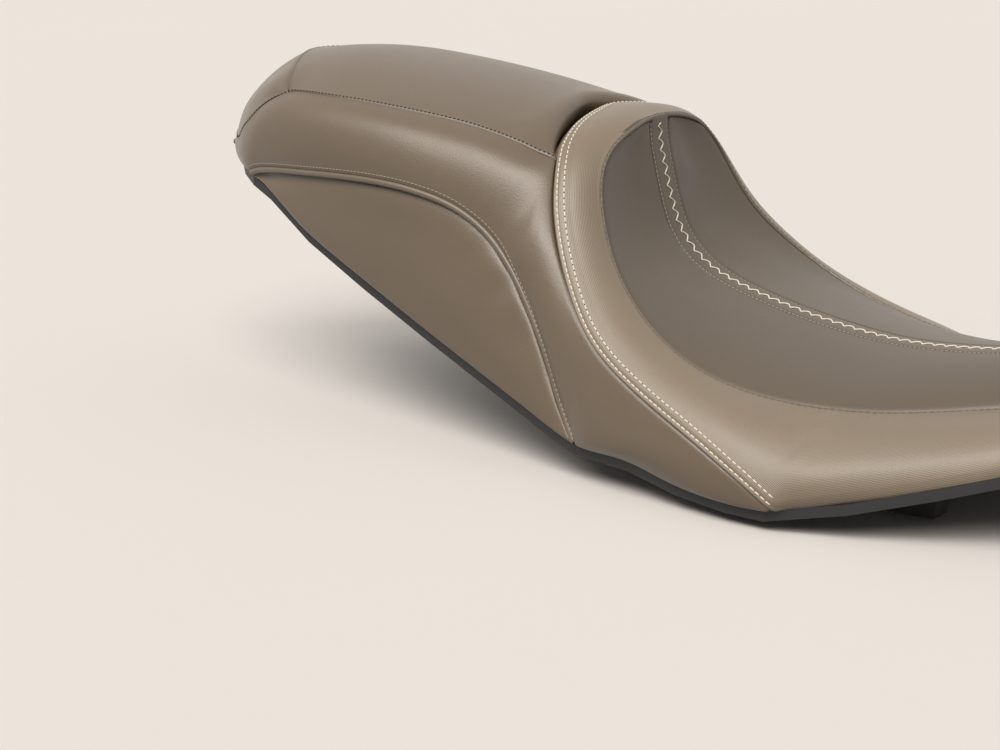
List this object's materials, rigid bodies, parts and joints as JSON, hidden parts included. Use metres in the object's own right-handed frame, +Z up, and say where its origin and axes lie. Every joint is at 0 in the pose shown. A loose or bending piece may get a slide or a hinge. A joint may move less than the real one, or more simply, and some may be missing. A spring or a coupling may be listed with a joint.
{
  "type": "two-up motorcycle seat",
  "caption": "Two-up touring motorcycle seat: bucket rider saddle and passenger pad in stitched vinyl over a ribbed moulded pan, held by a rear screw tab and a front tongue.",
  "frame": {"origin": "centre of the rear tab's screw hole, on the tab's lower face where it lies on the fender", "axes": "+X towards the seat's nose, +Y to the rider's left, +Z up"},
  "size_m": [0.821, 0.3438, 0.2545],
  "materials": {
    "pan_plastic": "black moulded plastic, fine grain",
    "bracket_steel": "black coated steel",
    "foot_rubber": "matte black rubber",
    "cover_vinyl": "matte warm charcoal vinyl",
    "bolster_vinyl": "matte vinyl with fine ribbed grain, cream double stitching",
    "insert_vinyl": "matte dark vinyl",
    "strip_vinyl": "matte dark vinyl with cream zigzag stitching",
    "piping_vinyl": "matte vinyl welt"
  },
  "bodies": {
    "root": {"seat_pan": "pan_plastic", "rear_tab": "bracket_steel", "front_tongue": "bracket_steel", "passenger_top": "cover_vinyl", "passenger_tail": "cover_vinyl", "rider_insert": "insert_vinyl", "rider_centre_strip": "strip_vinyl", "rider_bolster": "bolster_vinyl", "passenger_side_right": "cover_vinyl", "passenger_side_left": "cover_vinyl", "passenger_skirt_right": "cover_vinyl", "passenger_skirt_left": "cover_vinyl", "piping_right": "piping_vinyl", "piping_left": "piping_vinyl", "frame_foot_rear_right": "foot_rubber", "frame_foot_rear_left": "foot_rubber", "frame_foot_front_right": "foot_rubber", "frame_foot_front_left": "foot_rubber", "fender_foot_rear_right": "foot_rubber", "fender_foot_rear_left": "foot_rubber", "fender_foot_front_right": "foot_rubber", "fender_foot_front_left": "foot_rubber"}
  },
  "joints": []
}
